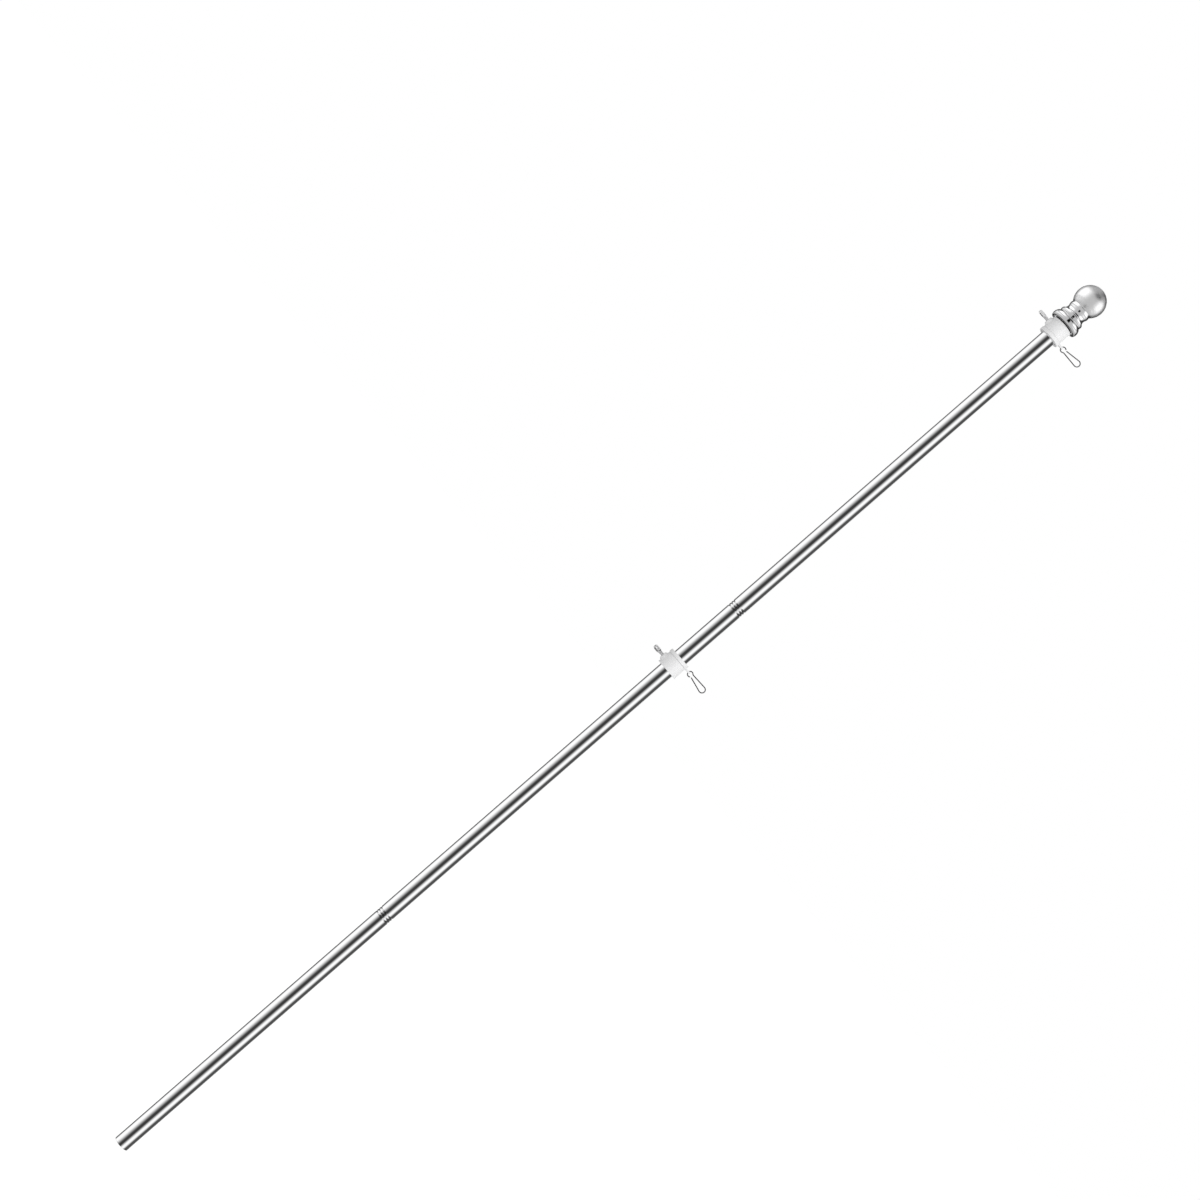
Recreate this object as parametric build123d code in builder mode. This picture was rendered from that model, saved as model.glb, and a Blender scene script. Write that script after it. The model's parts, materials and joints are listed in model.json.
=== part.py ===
from build123d import *

import os
from math import cos, radians, sin, sqrt

# A flagpole in three polished tubes that screw together, with a ball finial on top and two flag
# rings. Each flag ring is a collar that a thumb screw holds on the pole, with a ring that spins
# on the collar's neck and carries a wire clip. The pole stands on +Z, with the origin at the
# middle of its lower end. The clips point to +X and the thumb screws to -X. Millimetres.

# Pole
pole_length = 1500.0
tube_radius = 10.0
tube_wall = 0.8
lower_joint_z = 402.5
upper_joint_z = 940.8
end_round = 0.25

# Section joints: a seam with a rolled crimp on each side of it
seam_round = 0.7
crimp_pitch = 3.4
crimp_half_width = 0.95
crimp_depth = 0.45
insert_gap = 0.05
insert_length = 24.0
joint_stud_radius = 5.0
joint_stud_length = 16.0
stud_chamfer = 0.8
stud_gap = 0.05
stud_end_gap = 1.5

# Lower end plug
plug_length = 14.0
plug_chamfer = 0.4

# Base ring of the ball finial, with heights from the finial's base
base_radius = 17.9
base_bulge_radius = 18.8
base_bulge_height = 4.2
base_ring_height = 10.2
base_top_radius = 15.6
base_recess_depth = 5.0
base_recess_wall = 1.8

# Beaded neck of the finial: each height is a rise above the form below it
groove_radius = 15.3
groove_height = 0.7
lower_bead_radius = 16.05
lower_bead_height = 4.0
waist_radius = 12.95
waist_rise = 5.1
cove_radius = 13.45
cove_rise = 2.4
upper_bead_radius = 14.05
upper_bead_rise = 3.3
ball_neck_radius = 13.55
ball_neck_rise = 2.2

# Ball of the finial, and its seat on the pole
ball_radius = 19.2
ball_wall = 1.4
socket_depth = 21.0
socket_gap = 0.1
web_thickness = 4.5
finial_stud_radius = 3.0
finial_stud_length = 7.0
finial_plug_length = 12.0

# Collar, with heights from its open face towards the spin ring
collar_bore_gap = 0.15
collar_radius = 13.6
collar_height = 16.8
collar_rim_radius = 14.1
collar_rim_height = 1.1
collar_edge_round = 0.5
neck_wall = 1.2
screw_height = 8.3
boss_root_radius = 6.2
boss_end_radius = 4.6
boss_reach = 16.1
boss_edge_round = 0.9

# Spin ring on the collar's neck
spin_gap = 0.08
spin_end_gap = 0.15
spin_ring_height = 4.5
spin_ring_radius = 14.2
spin_ring_round = 0.45
lip_reach = 0.45
lip_height = 1.1
lip_chamfer = 0.35

# Lug on the spin ring, with a hole along the pole
lug_reach = 18.5
lug_end_radius = 2.1
lug_hole_radius = 1.05
lug_thickness = 2.4
lug_drop = 0.7
lug_root_gap = 0.25

# Thumb screw
screw_radius = 2.0
screw_gap = 0.08
screw_tip_gap = 0.1
screw_tip_chamfer = 0.5
paddle_start = 20.3
paddle_end = 30.2
paddle_width = 8.6
paddle_thickness = 2.2
paddle_neck = 2.6
paddle_roll = -35.0
paddle_corner = 3.2
paddle_edge_round = 0.5
dish_radius = 2.5
dish_depth = 0.4

# Wire clip, in the plane of the pole and the lug
wire_radius = 0.65
eye_radius = 3.2
eye_open_low = 40.0
eye_open_high = 50.0
neck_bend_radius = 2.4
leg_slope = 1.5
leg_length = 18.6
bow_radius = 3.85
gate_slope = 11.0
gate_length = 18.4

# Places of the two flag rings
lower_collar_z = 833.4
finial_seat_gap = 0.7

# Pole and inserts: sizes that follow from those above
tube_bore = tube_radius - tube_wall
insert_radius = tube_bore - insert_gap
below_lower_joint = lower_joint_z - crimp_pitch
above_lower_joint = lower_joint_z + crimp_pitch
below_upper_joint = upper_joint_z - crimp_pitch
above_upper_joint = upper_joint_z + crimp_pitch

# Finial: heights that follow from those above
bead_low = base_ring_height + groove_height
bead_top = bead_low + lower_bead_height
waist_height = bead_top + waist_rise
cove_height = waist_height + cove_rise
upper_bead_height = cove_height + upper_bead_rise
ball_neck_height = upper_bead_height + ball_neck_rise
ball_centre = ball_neck_height + sqrt(ball_radius**2 - ball_neck_radius**2)
finial_height = ball_centre + ball_radius
finial_base_z = pole_length - finial_height
socket_radius = tube_radius + socket_gap
web_top = socket_depth + web_thickness
tube_top = finial_base_z + socket_depth

# Flag rings: sizes that follow from those above
collar_bore = tube_radius + collar_bore_gap
neck_radius = collar_bore + neck_wall
neck_top = collar_height + spin_end_gap + spin_ring_height
lip_radius = neck_radius + lip_reach
lip_low = neck_top - lip_height
spin_bore = neck_radius + spin_gap
lip_bore = lip_radius + spin_gap
spin_low = collar_height + spin_end_gap
lip_seat = lip_low - spin_end_gap
lug_low = spin_low - lug_drop
lug_root = collar_radius + lug_root_gap
screw_tip = tube_radius + screw_tip_gap
upper_collar_z = finial_base_z - finial_seat_gap


def wall_side(radius, low, high, crimps):
    """Draws one side of a tube's wall from low to high, with a rolled dip at each crimp."""
    start = low
    for height in crimps:
        dip_low = (radius, height - crimp_half_width)
        dip_high = (radius, height + crimp_half_width)
        Line((radius, start), dip_low)
        ThreePointArc(dip_low, (radius - crimp_depth, height), dip_high)
        start = height + crimp_half_width
    Line((radius, start), (radius, high))


def tube_outline(low, high, crimps, low_round, high_round):
    """Draws the section of a thin tube whose wall follows each crimp inside and out."""
    wall_side(tube_radius, low + low_round, high - high_round, crimps)
    RadiusArc((tube_radius, high - high_round), (tube_radius - high_round, high), -high_round)
    Line((tube_radius - high_round, high), (tube_bore, high))
    wall_side(tube_bore, low, high, crimps)
    Line((tube_bore, low), (tube_radius - low_round, low))
    RadiusArc((tube_radius - low_round, low), (tube_radius, low + low_round), -low_round)


def insert_outline(low, high, crimp):
    """Draws half the section of a round insert, grooved where the tube is crimped onto it."""
    wall_side(insert_radius, low, high, [crimp])
    Polyline((insert_radius, high), (0, high), (0, low), (insert_radius, low))


# The three tubes, each rolled over its inserts at the joints
with BuildPart() as lower_tube:
    with BuildSketch(Plane.XZ):
        with BuildLine():
            tube_outline(0, lower_joint_z, [below_lower_joint], end_round, seam_round)
        make_face()
    revolve(axis=Axis.Z)

with BuildPart() as middle_tube:
    with BuildSketch(Plane.XZ):
        with BuildLine():
            middle_crimps = [above_lower_joint, below_upper_joint]
            tube_outline(lower_joint_z, upper_joint_z, middle_crimps, seam_round, seam_round)
        make_face()
    revolve(axis=Axis.Z)

with BuildPart() as upper_tube:
    with BuildSketch(Plane.XZ):
        with BuildLine():
            tube_outline(upper_joint_z, tube_top, [above_upper_joint], seam_round, end_round)
        make_face()
    revolve(axis=Axis.Z)

# The plug in the open lower end
with BuildPart() as end_plug:
    with BuildSketch():
        Circle(insert_radius)
    extrude(amount=plug_length)
    chamfer(end_plug.edges().sort_by(Axis.Z)[0], plug_chamfer)

# Inside each joint: an insert with a stud below the seam, and a bored one above it
with BuildPart() as lower_joint_stud:
    with BuildSketch(Plane.XZ):
        with BuildLine():
            insert_outline(lower_joint_z - insert_length, lower_joint_z, below_lower_joint)
        make_face()
    revolve(axis=Axis.Z)
    with BuildSketch(Plane.XY.offset(lower_joint_z)):
        Circle(joint_stud_radius)
    extrude(amount=joint_stud_length)
    chamfer(lower_joint_stud.edges().sort_by(Axis.Z)[-1], stud_chamfer)

with BuildPart() as lower_joint_socket:
    with BuildSketch(Plane.XZ):
        with BuildLine():
            insert_outline(lower_joint_z, lower_joint_z + insert_length, above_lower_joint)
        make_face()
    revolve(axis=Axis.Z)
    with BuildSketch(Plane.XY.offset(lower_joint_z)):
        Circle(joint_stud_radius + stud_gap)
    extrude(amount=joint_stud_length + stud_end_gap, mode=Mode.SUBTRACT)

with BuildPart() as upper_joint_stud:
    with BuildSketch(Plane.XZ):
        with BuildLine():
            insert_outline(upper_joint_z - insert_length, upper_joint_z, below_upper_joint)
        make_face()
    revolve(axis=Axis.Z)
    with BuildSketch(Plane.XY.offset(upper_joint_z)):
        Circle(joint_stud_radius)
    extrude(amount=joint_stud_length)
    chamfer(upper_joint_stud.edges().sort_by(Axis.Z)[-1], stud_chamfer)

with BuildPart() as upper_joint_socket:
    with BuildSketch(Plane.XZ):
        with BuildLine():
            insert_outline(upper_joint_z, upper_joint_z + insert_length, above_upper_joint)
        make_face()
    revolve(axis=Axis.Z)
    with BuildSketch(Plane.XY.offset(upper_joint_z)):
        Circle(joint_stud_radius + stud_gap)
    extrude(amount=joint_stud_length + stud_end_gap, mode=Mode.SUBTRACT)

# The plug in the pole's top end, with the stud that the finial screws onto
with BuildPart() as finial_stud:
    with BuildSketch(Plane.XY.offset(tube_top - finial_plug_length)):
        Circle(insert_radius)
    extrude(amount=finial_plug_length)
    with BuildSketch(Plane.XY.offset(tube_top)):
        Circle(finial_stud_radius)
    extrude(amount=finial_stud_length)
    chamfer(finial_stud.edges().sort_by(Axis.Z)[-1], stud_chamfer)

# The turned ball on its beaded neck, hollow above a web, with a socket for the pole's top
finial_plane = Plane.XZ.shift_origin((0, 0, finial_base_z))
with BuildPart() as finial:
    with BuildSketch(finial_plane):
        with BuildLine():
            Line((0, 0), (base_radius, 0))
            ThreePointArc(
                (base_radius, 0),
                (base_bulge_radius, base_bulge_height),
                (base_top_radius, base_ring_height),
            )
            Polyline(
                (base_top_radius, base_ring_height),
                (groove_radius, base_ring_height + groove_height / 2),
                (base_top_radius, bead_low),
            )
            ThreePointArc(
                (base_top_radius, bead_low),
                (lower_bead_radius, bead_low + lower_bead_height / 2),
                (base_top_radius, bead_top),
            )
            ThreePointArc(
                (base_top_radius, bead_top), (waist_radius, waist_height), (cove_radius, cove_height)
            )
            ThreePointArc(
                (cove_radius, cove_height),
                (upper_bead_radius, upper_bead_height),
                (ball_neck_radius, ball_neck_height),
            )
            ThreePointArc(
                (ball_neck_radius, ball_neck_height), (ball_radius, ball_centre), (0, finial_height)
            )
            Line((0, finial_height), (0, 0))
        make_face()
    revolve(axis=Axis.Z)
    with BuildSketch(Plane.XY.offset(finial_base_z)):
        Circle(socket_radius)
    extrude(amount=socket_depth, mode=Mode.SUBTRACT)
    with BuildSketch(Plane.XY.offset(finial_base_z)):
        Circle(base_radius - base_recess_wall)
        Circle(socket_radius + base_recess_wall, mode=Mode.SUBTRACT)
    extrude(amount=base_recess_depth, mode=Mode.SUBTRACT)
    with BuildSketch(Plane.XY.offset(tube_top)):
        Circle(finial_stud_radius + stud_gap)
    extrude(amount=web_thickness, mode=Mode.SUBTRACT)
    with BuildSketch(finial_plane):
        with Locations((0, ball_centre)):
            Circle(ball_radius - ball_wall)
        with Locations((0, web_top)):
            Rectangle(2 * ball_radius, finial_height, align=(Align.MIN, Align.MIN), mode=Mode.INTERSECT)
    revolve(axis=Axis.Z, mode=Mode.SUBTRACT)

# The clamping collar with its screw boss, and the neck and lip that hold the spin ring
with BuildPart() as collar:
    with BuildSketch(Plane.XZ):
        with BuildLine():
            Polyline(
                (0, 0),
                (collar_rim_radius, 0),
                (collar_rim_radius, collar_rim_height),
                (collar_radius, collar_rim_height + collar_edge_round),
                (collar_radius, collar_height),
                (neck_radius, collar_height),
                (neck_radius, lip_low),
                (lip_radius, lip_low),
                (lip_radius, neck_top - lip_chamfer),
                (lip_radius - lip_chamfer, neck_top),
                (0, neck_top),
                (0, 0),
            )
        make_face()
    revolve(axis=Axis.Z)
    rim_edges = collar.edges().filter_by(GeomType.CIRCLE).sort_by(Axis.Z)[:2]
    shoulder_edges = collar.edges().filter_by_position(Axis.Z, collar_height, collar_height)
    fillet([*rim_edges, shoulder_edges.sort_by(SortBy.RADIUS)[-1]], collar_edge_round)
    with BuildSketch(Plane.YZ):
        with Locations((0, screw_height)):
            Circle(boss_root_radius)
    with BuildSketch(Plane.YZ.offset(-boss_reach)):
        with Locations((0, screw_height)):
            Circle(boss_end_radius)
    loft()
    fillet(collar.edges().sort_by(Axis.X)[0], boss_edge_round)
    with BuildSketch():
        Circle(collar_bore)
    extrude(amount=neck_top, mode=Mode.SUBTRACT)
    with BuildSketch(Plane.YZ):
        with Locations((0, screw_height)):
            Circle(screw_radius + screw_gap)
    extrude(amount=-boss_reach, mode=Mode.SUBTRACT)

# The ring that turns on the collar's neck, with the lug that carries the clip
with BuildPart() as spin_ring:
    with BuildSketch(Plane.XZ):
        with BuildLine():
            Polyline(
                (spin_bore, spin_low),
                (spin_ring_radius, spin_low),
                (spin_ring_radius, neck_top),
                (lip_bore, neck_top),
                (lip_bore, lip_seat),
                (spin_bore, lip_seat),
                (spin_bore, spin_low),
            )
        make_face()
    revolve(axis=Axis.Z)
    outer_edges = spin_ring.edges().filter_by(GeomType.CIRCLE).sort_by(SortBy.RADIUS)[-2:]
    fillet(outer_edges, spin_ring_round)
    with BuildSketch(Plane.XY.offset(lug_low)):
        with Locations((lug_reach, 0)):
            Circle(lug_end_radius)
        with Locations((lug_root, 0)):
            Rectangle(lug_reach - lug_root, 2 * lug_end_radius, align=(Align.MIN, Align.CENTER))
        with Locations((lug_reach, 0)):
            Circle(lug_hole_radius, mode=Mode.SUBTRACT)
    extrude(amount=lug_thickness)

# The thumb screw: a shank whose tip presses on the pole, and a paddle dished on both faces
roll = radians(paddle_roll)
paddle_plane = Plane(origin=(0, 0, screw_height), x_dir=(-1, 0, 0), z_dir=(0, sin(roll), cos(roll)))
paddle_axis = Axis(paddle_plane.origin, paddle_plane.z_dir)
paddle_middle = (paddle_start + paddle_neck + paddle_end) / 2
dish_sphere = (dish_radius**2 + dish_depth**2) / (2 * dish_depth)
dish_centre = paddle_thickness / 2 - dish_depth + dish_sphere
with BuildPart() as thumb_screw:
    with BuildSketch(paddle_plane.offset(-paddle_thickness / 2)):
        with BuildLine():
            Polyline(
                (paddle_start, -screw_radius),
                (paddle_start + paddle_neck, -paddle_width / 2),
                (paddle_end, -paddle_width / 2),
                (paddle_end, paddle_width / 2),
                (paddle_start + paddle_neck, paddle_width / 2),
                (paddle_start, screw_radius),
                (paddle_start, -screw_radius),
            )
        make_face()
    extrude(amount=paddle_thickness)
    fillet(thumb_screw.edges().filter_by(paddle_axis).sort_by(Axis.X)[:2], paddle_corner)
    paddle_faces = thumb_screw.faces().filter_by(paddle_axis)
    fillet(paddle_faces.edges().sort_by(Axis.X)[:-2], paddle_edge_round)
    with Locations(
        paddle_plane.location * Location((paddle_middle, 0, dish_centre)),
        paddle_plane.location * Location((paddle_middle, 0, -dish_centre)),
    ):
        Sphere(dish_sphere, mode=Mode.SUBTRACT)
    with BuildSketch(Plane.YZ.offset(-screw_tip)):
        with Locations((0, screw_height)):
            Circle(screw_radius)
    extrude(amount=screw_tip - paddle_start - paddle_neck)
    chamfer(thumb_screw.edges().sort_by(Axis.X)[-1], screw_tip_chamfer)

# The wire clip: an eye through the lug, a straight leg, a bow and the springy gate
eye_x = lug_reach + eye_radius
eye_z = lug_low + lug_thickness / 2
wire_end = radians(eye_open_low)
with BuildPart() as clip:
    with BuildLine(Plane.XZ) as wire:
        eye = JernArc(
            (eye_x + eye_radius * cos(wire_end), eye_z - eye_radius * sin(wire_end)),
            (-sin(wire_end), -cos(wire_end)),
            eye_radius,
            eye_open_low + eye_open_high - 360,
        )
        neck = JernArc(eye @ 1, eye % 1, neck_bend_radius, 90 - eye_open_high + leg_slope)
        leg = Line(neck @ 1, neck @ 1 + leg_length * (neck % 1))
        bow = JernArc(leg @ 1, leg % 1, bow_radius, -180 - leg_slope - gate_slope)
        Line(bow @ 1, bow @ 1 + gate_length * (bow % 1))
    with BuildSketch(Plane(origin=wire.wire() @ 0, z_dir=wire.wire() % 0)):
        Circle(wire_radius)
    sweep(path=wire.wire())

# Each flag ring stands at its place, the upper one turned over below the finial
lower_place = Location((0, 0, lower_collar_z))
upper_place = Location((0, 0, upper_collar_z), (180, 0, 0))

os.makedirs("parts", exist_ok=True)

lower_tube.part.label = "lower_tube"
middle_tube.part.label = "middle_tube"
upper_tube.part.label = "upper_tube"
end_plug.part.label = "end_plug"
lower_joint_stud.part.label = "lower_joint_stud"
lower_joint_socket.part.label = "lower_joint_socket"
upper_joint_stud.part.label = "upper_joint_stud"
upper_joint_socket.part.label = "upper_joint_socket"
finial_stud.part.label = "finial_stud"
finial.part.label = "finial"
collar.part.label = "collar"
spin_ring.part.label = "spin_ring"
thumb_screw.part.label = "thumb_screw"
clip.part.label = "clip"

export_step(lower_tube.part, "parts/lower_tube.step")
export_step(middle_tube.part, "parts/middle_tube.step")
export_step(upper_tube.part, "parts/upper_tube.step")
export_step(end_plug.part, "parts/end_plug.step")
export_step(lower_joint_stud.part, "parts/lower_joint_stud.step")
export_step(lower_joint_socket.part, "parts/lower_joint_socket.step")
export_step(upper_joint_stud.part, "parts/upper_joint_stud.step")
export_step(upper_joint_socket.part, "parts/upper_joint_socket.step")
export_step(finial_stud.part, "parts/finial_stud.step")
export_step(finial.part, "parts/finial.step")

for side, place in (("lower", lower_place), ("upper", upper_place)):
    for piece in (collar, spin_ring, thumb_screw, clip):
        placed = piece.part.moved(place)
        placed.label = f"{side}_{piece.part.label}"
        export_step(placed, f"parts/{placed.label}.step")
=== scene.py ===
"""Fine shapes and finishes of a sectional flagpole, built around its fixed frame.

Lengths are metres in the pole's own frame: +Z runs up the pole, the clips point to +X and the
thumb screws to -X. Heights on a flag ring run from its collar's open face to its spin ring.
"""

from __future__ import annotations

import json
import logging
import math
from collections.abc import Callable, Sequence
from dataclasses import dataclass, replace
from enum import Enum
from functools import cached_property

import bpy
import numpy as np
from mathutils import Matrix, Vector

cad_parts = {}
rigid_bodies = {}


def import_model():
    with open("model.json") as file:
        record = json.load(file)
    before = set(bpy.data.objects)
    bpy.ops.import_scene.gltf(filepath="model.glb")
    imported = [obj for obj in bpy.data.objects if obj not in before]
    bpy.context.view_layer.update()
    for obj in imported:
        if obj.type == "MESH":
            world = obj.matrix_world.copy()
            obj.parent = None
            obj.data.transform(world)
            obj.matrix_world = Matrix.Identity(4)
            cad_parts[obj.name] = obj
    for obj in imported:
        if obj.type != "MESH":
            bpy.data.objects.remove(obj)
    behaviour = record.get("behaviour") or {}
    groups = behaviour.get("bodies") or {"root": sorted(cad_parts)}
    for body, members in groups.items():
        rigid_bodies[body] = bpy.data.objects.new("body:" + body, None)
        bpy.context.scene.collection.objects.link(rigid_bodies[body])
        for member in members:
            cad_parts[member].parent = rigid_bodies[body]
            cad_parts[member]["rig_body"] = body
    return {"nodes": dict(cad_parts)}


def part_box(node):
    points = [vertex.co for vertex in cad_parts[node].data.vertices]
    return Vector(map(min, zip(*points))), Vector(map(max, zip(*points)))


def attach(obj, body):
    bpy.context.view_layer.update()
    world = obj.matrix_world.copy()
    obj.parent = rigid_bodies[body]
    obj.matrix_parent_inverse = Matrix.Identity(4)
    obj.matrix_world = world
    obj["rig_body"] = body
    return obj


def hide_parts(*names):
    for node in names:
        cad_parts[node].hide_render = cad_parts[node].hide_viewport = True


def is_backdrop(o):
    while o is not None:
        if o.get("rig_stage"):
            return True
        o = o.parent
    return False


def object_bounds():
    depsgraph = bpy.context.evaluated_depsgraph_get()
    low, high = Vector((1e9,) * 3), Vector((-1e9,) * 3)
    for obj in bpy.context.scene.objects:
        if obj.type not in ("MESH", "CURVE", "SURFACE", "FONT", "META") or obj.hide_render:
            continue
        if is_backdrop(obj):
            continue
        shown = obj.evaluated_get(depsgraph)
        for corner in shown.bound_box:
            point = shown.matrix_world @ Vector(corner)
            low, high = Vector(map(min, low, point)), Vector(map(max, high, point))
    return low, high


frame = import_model()
log = logging.getLogger("flagpole")

Pair = tuple[float, float]
Triple = tuple[float, float, float]
MM = 0.001
TURNS = 160
NO_TRIS = np.zeros((0, 3), int)


class RingSide(Enum):
    """Which flag ring: the value says which way its collar's heights run along the pole."""

    LOWER = 1
    UPPER = -1


@dataclass
class Shape:
    """One or more closed shells as arrays.

    Args:
        points: Vertices, one row each.
        quads: Four vertex numbers a row.
        tris: Three vertex numbers a row.
    """

    points: np.ndarray
    quads: np.ndarray
    tris: np.ndarray

    def outward(self) -> Shape:
        """The same shell facing out.

        Its signed volume, a sixth of the sum of each triangle's triple product, tells the way.

        Returns:
            This shape, or the same with its faces turned over.
        """
        halves = np.vstack([self.tris, self.quads[:, [0, 1, 2]], self.quads[:, [0, 2, 3]]])
        a, b, c = (self.points[halves[:, i]] for i in range(3))
        volume = np.einsum("ij,ij->i", a, np.cross(b, c)).sum() / 6
        if volume > 0:
            return self
        return Shape(self.points, self.quads[:, ::-1], self.tris[:, ::-1])

    @staticmethod
    def joined(shapes: Sequence[Shape]) -> Shape:
        """Several shells as one, each with its vertex numbers moved past those before it.

        Args:
            shapes: The shells.

        Returns:
            The one shape.
        """
        starts = np.cumsum([0] + [len(s.points) for s in shapes[:-1]])
        return Shape(
            np.vstack([s.points for s in shapes]),
            np.vstack([s.quads + start for s, start in zip(shapes, starts)]),
            np.vstack([s.tris + start for s, start in zip(shapes, starts)]),
        )


def spread(*parts: np.ndarray | float) -> np.ndarray:
    """Arrays brought to one shape and stacked, so that each gives one coordinate."""
    return np.stack(np.broadcast_arrays(*parts), axis=-1)


def quads_between(number: np.ndarray) -> np.ndarray:
    """A grid's quads: (i, j) joins rows i and i + 1 and columns j and j + 1 of vertex numbers."""
    corners = number[:-1, :-1], number[:-1, 1:], number[1:, 1:], number[1:, :-1]
    return spread(*corners).reshape(-1, 4)


def grid_shape(points: np.ndarray, tips: Sequence[Triple] | None = None) -> Shape:
    """A shell from a grid of rows, each row a closed loop of points.

    The last column meets the first. Without tips the last row meets the first too, and with
    them a fan of triangles closes each end onto its tip.

    Args:
        points: Array of rows, columns and coordinates.
        tips: The first and the last tip, where the rows don't close.

    Returns:
        The closed shell, facing out.
    """
    rows, columns = points.shape[:2]
    number = np.arange(rows * columns).reshape(rows, columns)
    quads = quads_between(np.pad(number, ((0, int(tips is None)), (0, 1)), mode="wrap"))
    flat = points.reshape(-1, 3)
    tris = NO_TRIS
    if tips:
        first, last = rows * columns, rows * columns + 1
        flat = np.vstack([flat, np.asarray(tips, float)])
        onwards = np.roll(number, -1, axis=1)
        low = spread(onwards[0], number[0], first)
        high = spread(number[-1], onwards[-1], last)
        tris = np.vstack([low, high])
    return Shape(flat, quads, tris).outward()


def circle(count: int) -> np.ndarray:
    """Angles evenly spaced over a full turn."""
    return np.linspace(0, 2 * np.pi, count, endpoint=False)


def spun(profile: np.ndarray, angle: np.ndarray) -> np.ndarray:
    """Each profile point (r, h) carried round an axis, as (r cos a, r sin a, h)."""
    radius, height = profile[:, :1], profile[:, 1:]
    return spread(radius * np.cos(angle), radius * np.sin(angle), height)


def lathe(profile: np.ndarray, turns: int = TURNS) -> Shape:
    """A turned shape: its profile carried round the pole's axis.

    Args:
        profile: Rows of radius and height, a closed loop or a line from the axis to the axis.
        turns: Points round the axis.

    Returns:
        The closed shell.
    """
    if profile[0, 0] > 0:
        return grid_shape(spun(profile, circle(turns)))
    tips = [(0, 0, height) for height in profile[[0, -1], 1]]
    return grid_shape(spun(profile[1:-1], circle(turns)), tips)


def arc(start: Pair, through: Pair, end: Pair, count: int) -> np.ndarray:
    """Points on the circle through three points, evenly spaced in angle.

    The centre solves the two equations that put it as far from the start as from each other
    point: 2 (p - start) . centre = p . p - start . start.

    Args:
        start: Where it begins.
        through: A point on its way.
        end: Where it ends.
        count: Its rows.

    Returns:
        count rows from start to end, the start left out.
    """
    a, b, c = (np.asarray(p, float) for p in (start, through, end))
    centre = np.linalg.solve(2 * np.stack([b - a, c - a]), [b @ b - a @ a, c @ c - a @ a])
    angles = [math.atan2(*(p - centre)[::-1]) for p in (a, b, c)]
    middle, last = ((x - angles[0]) % (2 * math.pi) for x in angles[1:])
    turn = last if middle < last else last - 2 * math.pi
    swept = angles[0] + np.linspace(0, turn, count + 1)[1:]
    radius = np.linalg.norm(a - centre)
    rows = centre + radius * spread(np.cos(swept), np.sin(swept))
    rows[-1] = c
    return rows


def edge_round(radius: float, height: float, reach: float, way: int, count: int) -> np.ndarray:
    """A quarter round over the edge of a turned piece, from its side to its end face.

    Args:
        radius: The side's radius.
        height: The end face's height.
        reach: The quarter round's radius.
        way: 1 for an upper end and -1 for a lower one.
        count: Its rows.

    Returns:
        The rows, the first point left out.
    """
    short = reach * (1 - math.sqrt(0.5))
    start, through = (radius, height - way * reach), (radius - short, height - way * short)
    return arc(start, through, (radius - reach, height), count)


def rounded(corners: Sequence[Triple]) -> np.ndarray:
    """A closed outline with its corners rounded.

    Each corner p gives a quadratic blend (1-t)^2 a + 2t(1-t) p + t^2 b, where a and b lie its
    reach away from p along its two edges.

    Args:
        corners: Radius, height and reach of each corner in order, the reach 0 for a sharp one.

    Returns:
        The outline's points.
    """
    points = np.asarray(corners, float)[:, :2]
    before, after = np.roll(points, 1, axis=0), np.roll(points, -1, axis=0)
    t = np.linspace(0, 1, 7)[:, None]
    rows = []
    for p, back, on, (_, _, reach) in zip(points, before, after, corners):
        a = p + (back - p) / np.linalg.norm(back - p) * reach
        b = p + (on - p) / np.linalg.norm(on - p) * reach
        blend = (1 - t) ** 2 * a + 2 * t * (1 - t) * p + t**2 * b
        rows.append(blend if reach > 0 else p[None])
    return np.vstack(rows)


def smooth_step(low: float, high: float, x: np.ndarray) -> np.ndarray:
    """3 t^2 - 2 t^3, with t the share of the way from low to high, held between 0 and 1."""
    t = np.clip((x - low) / (high - low), 0, 1)
    return t * t * (3 - 2 * t)


def mesh_object(name: str, shape: Shape, sharp_degrees: float = 35) -> bpy.types.Object:
    """A Blender object at the origin from a shape, shaded smooth up to an angle.

    Args:
        name: The piece's name.
        shape: Its shells.
        sharp_degrees: Edges that turn more than this stay sharp.

    Returns:
        The object.
    """
    mesh = bpy.data.meshes.new(name)
    faces = [*shape.quads.tolist(), *shape.tris.tolist()]
    mesh.from_pydata(shape.points.tolist(), [], faces)
    mesh.validate()
    mesh.shade_smooth()
    mesh.set_sharp_from_angle(angle=math.radians(sharp_degrees))
    made = bpy.data.objects.new(name, mesh)
    bpy.context.scene.collection.objects.link(made)
    return made


def math_operator(operation: str, reflected: bool = False) -> Callable[..., Wire]:
    """Makes a method of Wire that puts two values into a Math node.

    Args:
        operation: The node's operation.
        reflected: Whether the values go in the other way round.

    Returns:
        The method.
    """

    def method(wire: Wire, other: Wire | float) -> Wire:
        """The Math node's result."""
        return wire.math(operation, *((other, wire) if reflected else (wire, other)))

    return method


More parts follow.
